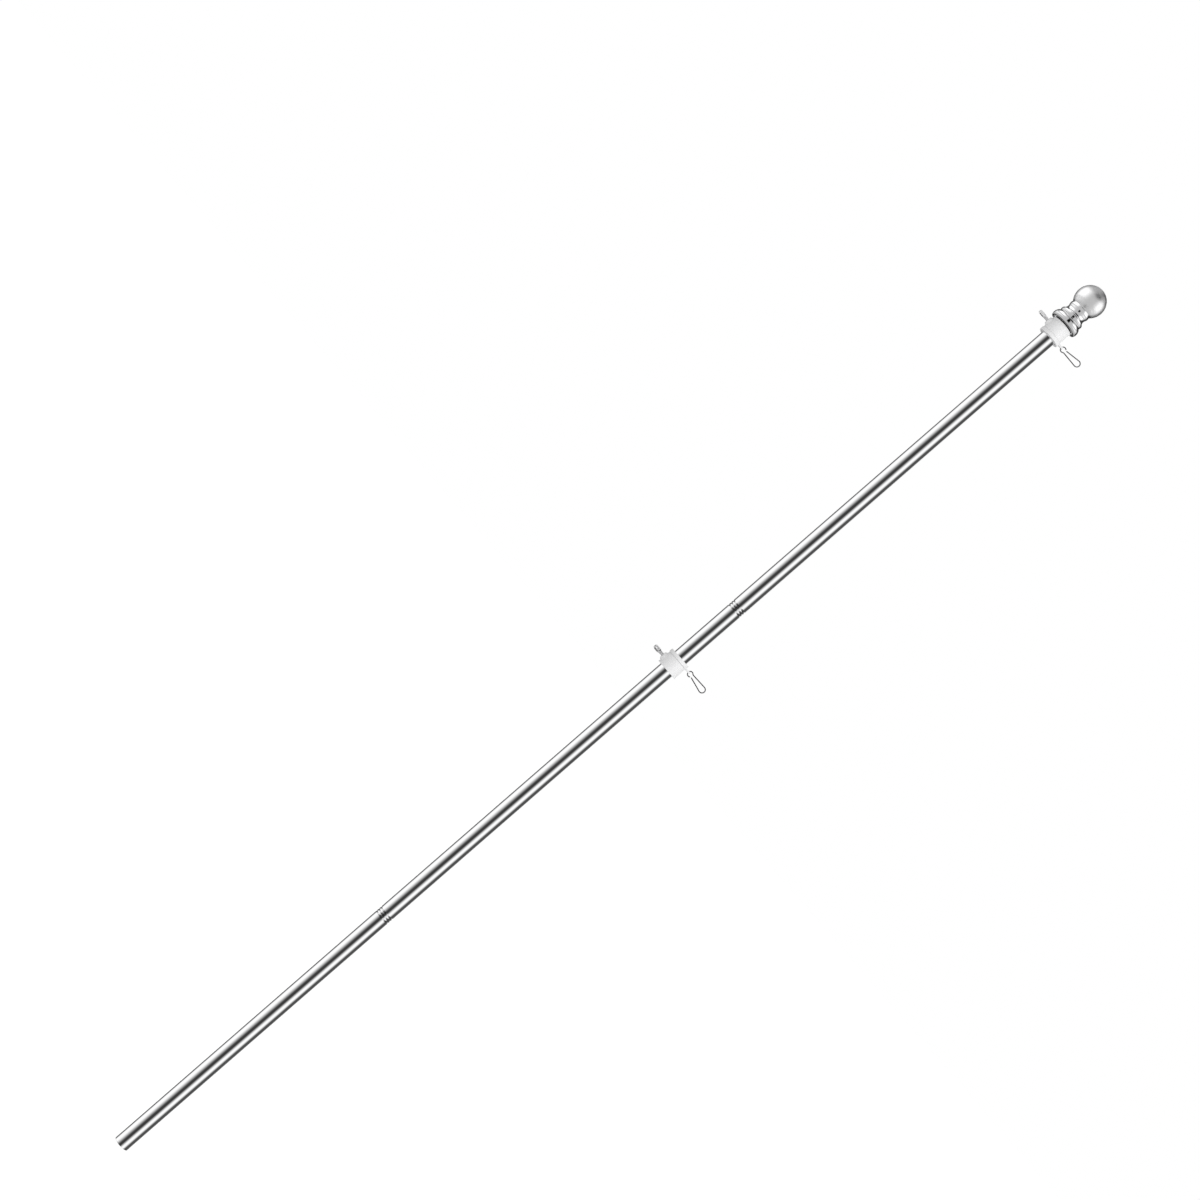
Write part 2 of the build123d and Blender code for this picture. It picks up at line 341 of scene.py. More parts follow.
class Wire:
    """A value in a shader: arithmetic on it adds Math nodes to its tree."""

    __add__ = __radd__ = math_operator("ADD")
    __sub__ = math_operator("SUBTRACT")
    __rsub__ = math_operator("SUBTRACT", reflected=True)
    __mul__ = __rmul__ = math_operator("MULTIPLY")
    __truediv__ = math_operator("DIVIDE")
    __pow__ = math_operator("POWER")

    def __init__(self, tree: ShaderTree, socket: bpy.types.NodeSocket) -> None:
        """Wraps one output socket of a tree."""
        self.tree = tree
        self.socket = socket

    def __abs__(self) -> Wire:
        """Size without sign."""
        return self.math("ABSOLUTE", self)

    def math(self, operation: str, *values: Wire | float) -> Wire:
        """A Math node of one operation on these values."""
        return self.tree.node("Math", dict(enumerate(values)), operation=operation)

    def above(self, low: float, high: float) -> Wire:
        """0 below low, 1 above high and a smooth step between."""
        values = {"Value": self, "From Min": low, "From Max": high}
        return self.tree.node("MapRange", values, interpolation_type="SMOOTHSTEP")


class ShaderTree:
    """The nodes of one material or world."""

    def __init__(self, owner: bpy.types.Material | bpy.types.World) -> None:
        """Empties the owner's tree.

        Args:
            owner: The material or world.
        """
        self.owner = owner
        owner.use_nodes = True
        self.nodes = owner.node_tree.nodes
        self.links = owner.node_tree.links
        self.nodes.clear()

    def node(self, kind: str, values: dict | None = None, output: int | str = 0, **settings: str) -> Wire:
        """Adds any node: its settings first, then the values or links of its sockets.

        Args:
            kind: The node's type without the words ShaderNode.
            values: Socket name or number to a number, a colour or another output.
            output: The socket to hand back.
            settings: Attributes to set.

        Returns:
            That socket.
        """
        made = self.nodes.new(f"ShaderNode{kind}")
        for key, value in settings.items():
            setattr(made, key, value)
        for key, value in (values or {}).items():
            if isinstance(value, Wire):
                self.links.new(value.socket, made.inputs[key])
            else:
                made.inputs[key].default_value = value
        return Wire(self, made.outputs[output] if made.outputs else None)

    @cached_property
    def place(self) -> Wire:
        """The surface point in the piece's own coordinates."""
        return self.node("TexCoord", output="Object")

    def axes(self) -> tuple[Wire, ...]:
        """The surface point's three coordinates."""
        split = self.node("SeparateXYZ", {"Vector": self.place}).socket.node
        return tuple(Wire(self, split.outputs[axis]) for axis in "XYZ")

    def noise(self, grains: float | Triple, detail: float = 3) -> Wire:
        """Noise between 0 and 1, with one number of grains a metre or one for each axis."""
        stretched = self.node("Mapping", {"Vector": self.place, "Scale": tuple(grains * np.ones(3))})
        return self.node("TexNoise", {"Vector": stretched, "Scale": 1, "Detail": detail})

    def glow(self, level: float, kind: str = "Emission") -> Wire:
        """White light of one level, from a surface or as a world's background."""
        return self.node(kind, {"Color": (1, 1, 1, 1), "Strength": level})

    def seen(self) -> Wire:
        """Tells the rays that see a surface from those that only light it.

        Returns:
            1 on camera, glossy and transmission rays, and 0 on others.
        """
        kinds = ("Is Camera Ray", "Is Glossy Ray", "Is Transmission Ray")
        camera, glossy, through = (self.node("LightPath", output=kind) for kind in kinds)
        return camera.math("MAXIMUM", camera, camera.math("MAXIMUM", glossy, through))

    def close(self, share: Wire, base: Wire, other: Wire, end: str = "OutputMaterial") -> None:
        """Ends a material or world in two shaders, the base going over to the other by a share."""
        mixed = self.node("MixShader", {0: share, 1: base, 2: other})
        self.node(end, {"Surface": mixed})


@dataclass(frozen=True)
class Finish:
    """A finish of one material slot.

    Args:
        slot: The record's material slot.
        colour: Its main colour.
        rough: Its main roughness.
    """

    slot: str
    colour: Triple
    rough: float

    def material(self) -> bpy.types.Material:
        """Makes the finish's material once.

        Returns:
            The material that all its pieces share.
        """
        name = f"{self.slot}_{type(self).__name__.lower()}"
        found = bpy.data.materials.get(name)
        if found:
            return found
        tree = ShaderTree(bpy.data.materials.new(name))
        self.shade(tree)
        return tree.owner

    def shade(self, tree: ShaderTree) -> None:
        """Lays out the finish's nodes."""
        raise NotImplementedError

    def dimmed(self, level: float) -> tuple[float, ...]:
        """The finish's colour at a share of its brightness."""
        return tuple(level * c for c in self.colour)

    def surface(
        self, share: Wire, other: Sequence[float], rough: Wire, height: Wire, rise: float,
        metallic: float = 1, ior: float = 1.5,
    ) -> None:
        """Ends the material in a Principled shader.

        Args:
            share: How far the finish's colour goes over to the other one.
            other: The other colour.
            rough: Roughness on top of the main one.
            height: The relief, which bumps the normal.
            rise: Metres for each unit of the relief.
            metallic: 1 for metal and 0 for plastic.
            ior: Index of refraction.
        """
        tree = share.tree
        colours = {0: share, 6: (*self.colour, 1), 7: (*other, 1)}
        relief = {"Strength": 1, "Distance": rise, "Height": height}
        shader = tree.node("BsdfPrincipled", {
            "Base Color": tree.node("Mix", colours, 2, data_type="RGBA"),
            "Roughness": self.rough + rough,
            "Normal": tree.node("Bump", relief, "Normal"),
            "Metallic": metallic,
            "IOR": ior,
        })
        tree.node("OutputMaterial", {"Surface": shader})

    def dress(self, piece: bpy.types.Object) -> None:
        """Gives a piece this finish.

        Args:
            piece: The object, all of whose material slots take it, or a new one.
        """
        if not piece.material_slots:
            piece.data.materials.append(None)
        for slot in piece.material_slots:
            slot.material = self.material()


@dataclass(frozen=True)
class PolishedTube(Finish):
    """Mirror-polished steel with fine lengthwise lines, faint smudges, and crimp grooves darkened by
    painted shade and grime.

    Args:
        radius: The tube's outer radius.
        groove: How deep below it the full painted shade and grime of a groove begins.
    """

    radius: float = 0.01
    groove: float = 0.25 * MM

    def shade(self, tree: ShaderTree) -> None:
        """Roughness = base + lines + smudges; painted shade and grime darken the colour with depth below
        the surface.
        """
        x, y, _ = tree.axes()
        reach = (x * x + y * y) ** 0.5
        # Painted shade and grime: below the outer radius the colour goes a fifth of the way to near
        # black.
        depth = 1 - reach.above(self.radius - self.groove, self.radius - 0.04 * MM)
        lines = tree.noise((2600, 2600, 14), 4)
        smudge = tree.noise((60, 60, 22)).above(0.52, 0.78)
        rough = 0.035 * lines + 0.05 * smudge + 0.12 * depth
        self.surface(depth * 0.2, (0.05, 0.05, 0.052), rough, lines, 0.0012 * MM)


@dataclass(frozen=True)
class SoftChrome(Finish):
    """Chrome with a soft bloom that blurs its reflections, less on the neck than on the ball.

    Args:
        neck_rough: Roughness of the neck's beads.
        neck_top: Height where the neck ends and the ball begins.
    """

    neck_rough: float = 0.08
    neck_top: float = 1.467

    def shade(self, tree: ShaderTree) -> None:
        """Roughness steps from the neck's to the ball's, and a fine haze and tiny pits vary it."""
        _, _, z = tree.axes()
        on_ball = z.above(self.neck_top - 0.5 * MM, self.neck_top + 2.5 * MM)
        haze = tree.noise(220, 4)
        pits = tree.noise(5200, 2).above(0.68, 0.8)
        rough = (self.neck_rough - self.rough) * (1 - on_ball) + 0.05 * haze + 0.1 * pits
        self.surface(haze * 0.35, self.dimmed(0.9), rough, pits, -0.002 * MM)


@dataclass(frozen=True)
class MouldedPlastic(Finish):
    """Satin moulded plastic with a fine grain, flow clouds and a parting line on the plane Y = 0.

    Args:
        line: Half width of the parting line.
    """

    line: float = 0.12 * MM

    def shade(self, tree: ShaderTree) -> None:
        """Height = grain + parting line; the colour clouds a little towards its shade."""
        _, y, _ = tree.axes()
        grain = tree.noise(3800)
        clouds = tree.noise((110, 110, 70), 4)
        parting = 1 - abs(y).above(self.line * 0.4, self.line)
        rough = 0.12 * grain + 0.06 * clouds
        relief = 0.35 * grain + parting
        self.surface(clouds * 0.4, self.dimmed(0.94), rough, relief, 0.006 * MM, 0, 1.49)


@dataclass(frozen=True)
class SpringWire(Finish):
    """Drawn spring wire: dull steel with fine draw marks and darker, rubbed patches."""

    def shade(self, tree: ShaderTree) -> None:
        """Patches take the colour down, and marks along the wire's plane vary its roughness."""
        marks = tree.noise((900, 5200, 900), 4)
        patches = tree.noise(260).above(0.42, 0.7)
        rough = 0.12 * marks + 0.08 * patches
        self.surface(patches * 0.6, self.dimmed(0.6), rough, marks, 0.004 * MM)


@dataclass(frozen=True)
class PlatedSteel(Finish):
    """Zinc-plated pressed steel: mottled plating over a slightly cast surface."""

    def shade(self, tree: ShaderTree) -> None:
        """Mottle varies colour and roughness, and a coarse and a fine noise make the height."""
        mottle = tree.noise(420, 5)
        relief = 0.6 * mottle + 0.4 * tree.noise(1900)
        self.surface(mottle * 0.5, self.dimmed(0.7), 0.2 * mottle, relief, 0.02 * MM)


@dataclass(frozen=True)
class TurnedMetal(Finish):
    """Machined aluminium with fine turning rings round the pole's axis.

    Args:
        pitch: Distance from one turning ring to the next.
    """

    pitch: float = 0.12 * MM

    def shade(self, tree: ShaderTree) -> None:
        """Rings are a sine of the height plus the radius; a noise breaks them up."""
        x, y, z = tree.axes()
        along = (z + (x * x + y * y) ** 0.5) * (2 * math.pi / self.pitch)
        rings = along.math("SINE", along) * 0.5 + 0.5
        stain = tree.noise(300, 4)
        rough = 0.1 * rings + 0.15 * stain
        self.surface(stain * 0.5, self.dimmed(0.7), rough, rings, 0.004 * MM)


@dataclass(frozen=True)
class PlugPlastic(Finish):
    """Black moulded plastic with a coarse grain and scuffs on its end."""

    def shade(self, tree: ShaderTree) -> None:
        """Scuffs lighten the colour and roughen it, and the grain is the height."""
        grain = tree.noise(2400)
        scuffs = tree.noise((900, 260, 400), 5).above(0.58, 0.72)
        rough = 0.15 * grain + 0.15 * scuffs
        self.surface(scuffs * 0.5, (0.16, 0.16, 0.16), rough, grain, 0.02 * MM, 0)


TUBE_FINISH = PolishedTube("polished_tube", (0.93, 0.93, 0.935), 0.035)
FINIAL_FINISH = SoftChrome("finial_chrome", (0.9, 0.9, 0.905), 0.36)
PLASTIC_FINISH = MouldedPlastic("ring_plastic", (0.86, 0.86, 0.865), 0.32)
WIRE_FINISH = SpringWire("clip_wire", (0.24, 0.24, 0.245), 0.2)
SCREW_FINISH = PlatedSteel("screw_metal", (0.86, 0.86, 0.865), 0.2)
INSERT_FINISH = TurnedMetal("insert_metal", (0.62, 0.62, 0.63), 0.22)
PLUG_FINISH = PlugPlastic("plug_plastic", (0.035, 0.035, 0.036), 0.45)


def show(name: str, shape: Shape, finish: Finish, node: str, sharp_degrees: float) -> None:
    """Makes a piece that stands for a frame node and rides on the node's body.

    Args:
        name: The piece's name.
        shape: Its shells, in place.
        finish: Its finish.
        node: The frame node that it replaces.
        sharp_degrees: Edges that turn more than this stay sharp.
    """
    piece = mesh_object(name, shape, sharp_degrees)
    finish.dress(piece)
    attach(piece, frame["nodes"][node]["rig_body"])
    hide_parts(node)
    log.info("%s: %d faces for %s", name, len(piece.data.polygons), node)


@dataclass
class Pole:
    """The three tubes with their crimped joints, the inserts inside and the end plug.

    Args:
        wall: The tubes' wall.
        crimp_pitch: From a seam to the crimp on each side of it.
        crimp_half_width: Half a crimp's width.
        crimp_depth: How far the wall dips at a crimp, outside and inside.
        crimp_soft: How soft a crimp's bottom and shoulders are.
        end_round: Reach of the broken edge at a plain end.
        support: Distance of the ring of faces that keeps a wall's shading straight at its ends.
        plug_round: Reach of the end plug's rounded edge.
    """

    wall: float = 0.8 * MM
    crimp_pitch: float = 3.4 * MM
    crimp_half_width: float = 0.95 * MM
    crimp_depth: Pair = (0.62 * MM, 0.45 * MM)
    crimp_soft: float = 0.14
    end_round: float = 0.25 * MM
    support: float = 0.4 * MM
    plug_round: float = 0.4 * MM

    @property
    def radius(self) -> float:
        """The tubes' radius, from the frame."""
        low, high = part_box("middle_tube")
        return (high.x - low.x) / 2

    def wall_side(
        self, radius: float, depth: float, low: float, high: float, crimps: Sequence[float]
    ) -> np.ndarray:
        """One side of a wall going up, which dips into a soft V at each crimp.

        A height's dip is the sum over the crimps of (1 - h + sqrt((1 - h)^2 + e^2)) / 2 times the
        depth, where h = sqrt(t^2 + e^2) - e, t is the distance from the crimp over its half
        width, and e is the crimp's softness.

        Args:
            radius: The side's radius.
            depth: How deep a crimp is.
            low: The side's lower end.
            high: Its upper end.
            crimps: Heights of the crimps.

        Returns:
            Rows of radius and height.
        """
        soft = self.crimp_soft
        # Rows near a crimp in half widths, closest together where it bends.
        near = np.concatenate([[-3, -2.2], np.linspace(-1.7, 1.7, 35), [2.2, 3]])
        centres = np.array(crimps)[:, None]
        ends = [low, low + self.support, high - self.support, high]
        heights = np.concatenate([ends, (centres + near * self.crimp_half_width).ravel()])
        heights = np.unique(np.clip(heights, low, high))
        t = (heights - centres) / self.crimp_half_width
        short = 1 + soft - np.sqrt(t**2 + soft**2)
        dip = ((short + np.sqrt(short**2 + soft**2)) / 2).sum(axis=0)
        return spread(radius - depth * dip, heights)

    def tube(self, node: str, crimps: Sequence[float], seams: tuple[bool, bool]) -> None:
        """One tube: its outer side going up, its upper end, its inner side coming down, its foot.

        Args:
            node: The tube's frame node, which gives its two ends.
            crimps: Heights of its crimps.
            seams: Whether its lower and its upper end meet another tube, in half a crimp each.
        """
        low, high = (corner.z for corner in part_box(node))
        bottom, top = (0 if seam else self.end_round for seam in seams)
        notches = [*crimps, *(end for end, seam in zip((low, high), seams) if seam)]
        outer = self.wall_side(self.radius, self.crimp_depth[0], low + bottom, high - top, notches)
        inner = self.wall_side(self.radius - self.wall, self.crimp_depth[1], low, high, crimps)
        foot, head = (
            np.zeros((0, 2)) if seam else edge_round(self.radius, height, self.end_round, way, 8)
            for seam, height, way in zip(seams, (low, high), (-1, 1))
        )
        profile = np.vstack([outer, head, inner[::-1], foot[::-1]])
        show(f"{node}_skin", lathe(profile), TUBE_FINISH, node, 50)

    def plug(self) -> None:
        """The end plug: a disc with a rounded edge."""
        low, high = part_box("end_plug")
        edge = edge_round(high.x, low.z, self.plug_round, -1, 6)[::-1]
        side = [(high.x, low.z + self.plug_round), (high.x, high.z)]
        profile = np.vstack([[(0, low.z)], edge, side, [(0, high.z)]])
        show("end_plug_cap", lathe(profile), PLUG_FINISH, "end_plug", 30)

    def build(self) -> None:
        """Makes the tubes and the plug, and dresses the inserts inside."""
        lower_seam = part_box("lower_tube")[1].z
        upper_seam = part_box("middle_tube")[1].z
        pitch = self.crimp_pitch
        self.tube("lower_tube", [lower_seam - pitch], (False, True))
        self.tube("middle_tube", [lower_seam + pitch, upper_seam - pitch], (True, True))
        self.tube("upper_tube", [upper_seam + pitch], (True, False))
        self.plug()
        for node, solid in frame["nodes"].items():
            if node.endswith(("_stud", "_socket")):
                INSERT_FINISH.dress(solid)


@dataclass
class Finial:
    """The ball on its beaded neck. Heights run from its base, and radii from its axis.

    Args:
        base_radius: The base ring's lower edge.
        bulge: The base ring's widest radius and its height.
        ring_height: Top of the base ring.
        shoulder: Radius at the base ring's top and at the lower bead's edges.
        groove: Radius and height of the groove between them.
        bead: The lower bead's widest radius and its height from edge to edge.
        waist: The cove's smallest radius and its height.
        cove: Radius and height where the cove meets the upper bead.
        top_bead: The upper bead's widest radius and its height.
        neck_top: Height where the ball begins.
        socket: Radius and depth of the socket for the pole.
        recess: Inner radius, outer radius and depth of the hollow under the base.
    """

    base_radius: float = 17.9 * MM
    bulge: Pair = (18.8 * MM, 4.2 * MM)
    ring_height: float = 10.2 * MM
    shoulder: float = 15.6 * MM
    groove: Pair = (15.3 * MM, 0.7 * MM)
    bead: Pair = (16.05 * MM, 4.0 * MM)
    waist: Pair = (12.95 * MM, 20.0 * MM)
    cove: Pair = (13.45 * MM, 22.4 * MM)
    top_bead: Pair = (14.05 * MM, 25.7 * MM)
    neck_top: float = 27.9 * MM
    socket: Pair = (10.1 * MM, 21.0 * MM)
    recess: Triple = (11.9 * MM, 16.1 * MM, 5.0 * MM)

    def outline(self, top: float, ball: float) -> np.ndarray:
        """The turned profile from the ball's top, down the outside, to the socket's ceiling.

        Args:
            top: The finial's height.
            ball: The ball's radius.

        Returns:
            Rows of radius and height.
        """
        centre = top - ball
        neck = math.sqrt(ball**2 - (centre - self.neck_top) ** 2)
        bead_low = self.ring_height + self.groove[1]
        bead_top = bead_low + self.bead[1]
        inner, outer, deep = self.recess
        base_end, ring_top = (self.base_radius, 0), (self.shoulder, self.ring_height)
        rows = [
            [(0, top)],
            arc((0, top), (ball, centre), (neck, self.neck_top), 90),
            arc((neck, self.neck_top), self.top_bead, self.cove, 20),
            arc(self.cove, self.waist, (self.shoulder, bead_top), 24),
            arc((self.shoulder, bead_top), (self.bead[0], (bead_low + bead_top) / 2),
                (self.shoulder, bead_low), 16),
            [(self.groove[0], self.ring_height + self.groove[1] / 2), ring_top],
            arc(ring_top, self.bulge, base_end, 28),
            [(outer, 0), (outer, deep), (inner, deep), (inner, 0), (self.socket[0], 0)],
            [self.socket, (0, self.socket[1])],
        ]
        return np.vstack(rows)

    def build(self) -> None:
        """Makes the finial in place of its frame node."""
        low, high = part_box("finial")
        profile = self.outline(high.z - low.z, min(high.x, high.y))
        profile[:, 1] += low.z
        finish = replace(FINIAL_FINISH, neck_top=low.z + self.neck_top)
        show("ball_finial", lathe(profile, 192), finish, "finial", 28)


@dataclass
class FlagRing:
    """A collar with its thumb screw, the ring that spins on its neck, and the wire clip.

    Args:
        side: Which flag ring.
        bore: Inner radius of the collar.
        body: The collar's radius and height.
        rim: Radius and height of the rim at its open face.
        neck: Radius of its neck.
        lip: Radius and height of the lip that holds the spin ring.
        edge: Reach of its rounded edges.
        screw_height: The thumb screw's axis.
        boss: Radius of the boss at its end and its root, and its end's rounding.
        boss_reach: How far from the pole's axis the boss ends.
        hole: Radius of the screw's hole.
        ring: The spin ring's bore, radius and height.
        gap: What the spin ring has along the pole at each end.
        lug_reach: From the pole's axis to that of the lug's hole.
        lug: The lug's end radius, hole radius, thickness and drop below the ring.
        screw: The screw's radius, and where its tip lies.
        thread: Pitch and depth of its thread.
        paddle: Where its paddle begins and ends, and how far it takes to widen.
        paddle_half: The paddle's half width, half thickness and corner radius.
        paddle_roll: Degrees that it is turned round the screw.
        dish: What share of its thickness the hollow takes, and the hollow's radius.
        wire: Radius of the clip's wire.
        eye: Radius of the eye's path.
        eye_open: Degrees below and above level between which the eye is open.
        neck_bend: Radius of the bend between eye and leg.
        leg: Length of the straight leg, and its slope in degrees.
        bow: Radius of the bow.
        gate: Length of the gate, and its slope in degrees.
    """

    side: RingSide
    bore: float = 10.15 * MM
    body: Pair = (13.6 * MM, 16.8 * MM)
    rim: Pair = (14.1 * MM, 1.1 * MM)
    neck: float = 11.35 * MM
    lip: Pair = (11.8 * MM, 1.1 * MM)
    edge: float = 0.5 * MM
    screw_height: float = 8.3 * MM
    boss: Triple = (4.6 * MM, 6.2 * MM, 0.9 * MM)
    boss_reach: float = 16.1 * MM
    hole: float = 2.08 * MM
    ring: Triple = (11.43 * MM, 14.2 * MM, 4.5 * MM)
    gap: float = 0.15 * MM
    lug_reach: float = 18.5 * MM
    lug: tuple[float, float, float, float] = (2.1 * MM, 1.05 * MM, 2.4 * MM, 0.7 * MM)
    screw: Pair = (2.0 * MM, 10.1 * MM)
    thread: Pair = (0.7 * MM, 0.22 * MM)
    paddle: Triple = (20.3 * MM, 30.2 * MM, 2.6 * MM)
    paddle_half: Triple = (4.3 * MM, 1.1 * MM, 3.2 * MM)
    paddle_roll: float = -35.0
    dish: Pair = (0.34, 2.5 * MM)
    wire: float = 0.648 * MM
    eye: float = 3.2 * MM
    eye_open: Pair = (40.0, 50.0)
    neck_bend: float = 2.4 * MM
    leg: Pair = (18.6 * MM, 1.5)
    bow: float = 3.85 * MM
    gate: Pair = (18.4 * MM, 11.0)

    def show(self, piece: str, shapes: Sequence[Shape], finish: Finish, sharp_degrees: float) -> None:
        """Shows shells of this ring in place, half a turn about X where it is upside down.

        Args:
            piece: The piece's name on this ring.
            shapes: Its shells, with heights from the collar's open face.
            finish: Its finish.
            sharp_degrees: Edges that turn more than this stay sharp.
        """
        name, way = self.side.name.lower(), self.side.value
        low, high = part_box(f"{name}_collar")
        base = low.z if self.side is RingSide.LOWER else high.z
        shape = Shape.joined(shapes)
        shape.points = shape.points * (1, way, way) + (0, 0, base)
        show(f"{name}_{piece}_part", shape, finish, f"{name}_{piece}", sharp_degrees)

    def collar(self) -> None:
        """The collar's turned body, and the boss round the screw's hole as a shell of its own."""
        radius, top = self.body
        rim, rim_top = self.rim
        lip, lip_height = self.lip
        neck_top = top + self.gap + self.ring[2]
        lip_low = neck_top - lip_height
        edge, fine = self.edge, 0.1 * MM
        outline = [
            (self.bore, 0, 2 * fine), (rim, 0, edge), (rim, rim_top, 0.9 * edge),
            (radius, rim_top + edge, 0.5 * edge), (radius, top, edge), (self.neck, top, 0),
            (self.neck, lip_low, fine), (lip, lip_low, fine), (lip, neck_top, 3.5 * fine),
            (self.bore, neck_top, 2 * fine),
        ]
        shells = [lathe(rounded(outline)), self.boss_shell(radius)]
        self.show("collar", shells, PLASTIC_FINISH, 40)

    def boss_shell(self, radius: float) -> Shape:
        """The boss: a profile carried round the screw's axis.

        Its outside falls from the end face to the collar's own surface, the larger of
        a cone and sqrt(R^2 - y^2), blended where they meet, and its root and its back lie a
        little inside the collar's wall.

        Args:
            radius: The collar's radius R.

        Returns:
            The closed shell.
        """
        end, root, edge = self.boss
        reach, hole = self.boss_reach, self.hole
        skirt, back, fine = root + 1.6 * MM, radius - 2.2 * MM, 0.15 * MM
        hug, ease, soft, sunk = 0.97, 0.35, 0.5 * MM, 0.12 * MM
        angle = circle(96)
        outwards = np.linspace(end - edge, skirt, 44)[:, None]
        y, z = outwards * np.cos(angle), outwards * np.sin(angle)
        wall = np.sqrt(radius**2 - y**2)
        fall = np.clip((outwards - end) / (root - end), 0, None)
        over = np.clip((outwards - end + edge) / edge, 0, 1)
        cone = reach - (reach - hug * radius) * fall - ease * edge * over**2
        skin = np.maximum(cone, wall) + ease * soft * np.exp(-np.abs(cone - wall) / soft)
        skin = skin - sunk * smooth_step(root + 0.9 * MM, skirt, outwards)
        mouth = np.array([(hole, reach - fine), (hole + fine, reach)])
        foot = np.array([(0.8 * root, back), (hole, back)])
        lead, under = (spun(profile, angle)[..., [2, 0, 1]] for profile in (mouth, foot))
        points = np.vstack([lead, spread(skin, y, z), under])
        points[..., 0] *= -1
        points[..., 2] += self.screw_height
        return grid_shape(points)

    def spin_ring(self) -> None:
        """The ring's turned body, counterbored for the lip, with its lug as a shell of its own."""
        bore, radius, height = self.ring
        low = self.body[1] + self.gap
        high = low + height
        seat = high - self.lip[1] - self.gap
        wide = self.lip[0] + 0.08 * MM
        outline = [
            (bore, low, 0.2 * MM), (radius, low, 0.45 * MM), (radius, high, 0.45 * MM),
            (wide, high, 0.15 * MM), (wide, seat, 0), (bore, seat, 0.1 * MM),
        ]
        shells = [lathe(rounded(outline)), self.lug_shell(low)]
        self.show("spin_ring", shells, PLASTIC_FINISH, 40)

    def lug_shell(self, low: float) -> Shape:
        """The lug: a rounded block round its hole, from a profile carried round the hole's axis.

        Its outside lies at the end's radius from the hole's axis on the free side. Towards the
        pole it is the lesser of that radius / |sin a| and the way to the ring's wall / |cos a|.

        Args:
            low: Height of the spin ring's face on the collar's side.

        Returns:
            The closed shell.
        """
        end, hole, thick, drop = self.lug
        bevel, chamfer, sunk = 0.3 * MM, 0.15 * MM, 0.25 * MM
        angle = circle(96)
        cos, sin = np.cos(angle), np.sin(angle)
        with np.errstate(divide="ignore"):
            way = np.abs((self.lug_reach - self.body[0] - sunk) / cos)
            block = np.minimum(np.abs(end / sin), way)
        outside = np.where(cos < 0, block, end)
        half = [
            (0, 0, chamfer), (0, chamfer, 0), (1, -bevel, 0), (1, -0.3 * bevel, 0.3 * bevel),
            (1, 0, bevel),
        ]
        steps = half + [(far, change, thick - up) for far, change, up in half[::-1]]
        far, change, up = np.array(steps).T[..., None]
        reach = np.where(far, outside, hole) + change
        points = spread(self.lug_reach + reach * cos, reach * sin, low - drop + up)
        return grid_shape(points)

    def thumb_screw(self) -> None:
        """The screw as one loft along its axis, from a round threaded shank to a dished paddle.

        A section is |b / B|^p + |c / C|^p = 1. On the shank B = C = r - depth * |saw|, where saw
        is the distance along the axis over the pitch less the angle over a turn. On the paddle B
        and C are its half width and half thickness, the corners round B off, and a dish
        1 - d exp(-(x^2 + b^2) / s^2) thins it.
        """
        start, end, widening = self.paddle
        half_width, half_thick, corner = self.paddle_half
        radius, tip = self.screw
        pitch, depth = self.thread
        hollow, hollow_radius = self.dish
        lead, point, fade, squarer = 1.2 * MM, 0.5 * MM, (0.9 * MM, 0.2 * MM), 2.2
        shank = np.arange(tip, start, pitch / 10)
        blade = start + (end - start) * np.sin(np.linspace(0, np.pi / 2, 60))
        along = np.concatenate([shank, blade[:-1]])[:, None]
        angle = circle(72)
        saw = (along / pitch - angle / (2 * np.pi)) % 1
        run_out = 1 - smooth_step(start - fade[0], start - fade[1], along)
        taper = point * (1 - smooth_step(tip, tip + lead, along))
        shank_radius = radius - taper - depth * np.abs(2 * saw - 1) * run_out
        on_blade = smooth_step(start - 0.1 * MM, start + widening, along)
        past = np.clip(along - (end - corner), 0, corner)
        wide = half_width - corner + np.sqrt(corner**2 - past**2)
        lip = np.clip(along - (end - half_thick), 0, half_thick)
        thick = np.sqrt(half_thick**2 - 0.8 * lip**2)
        power = 2 / (2 + squarer * on_blade)
        b, c = (
            (shank_radius * (1 - on_blade) + half * on_blade) * np.sign(wave) * np.abs(wave) ** power
            for half, wave in ((wide, np.cos(angle)), (thick, np.sin(angle)))
        )
        from_middle = (along - (start + widening + end) / 2) ** 2 + b**2
        c = c * (1 - hollow * on_blade * np.exp(-from_middle / hollow_radius**2))
        roll = math.radians(self.paddle_roll)
        y = c * math.sin(roll) - b * math.cos(roll)
        z = b * math.sin(roll) + c * math.cos(roll) + self.screw_height
        tips = [(-tip, 0, self.screw_height), (-end, 0, self.screw_height)]
        shape = grid_shape(spread(-along, y, z), tips)
        self.show("thumb_screw", [shape], SCREW_FINISH, 50)

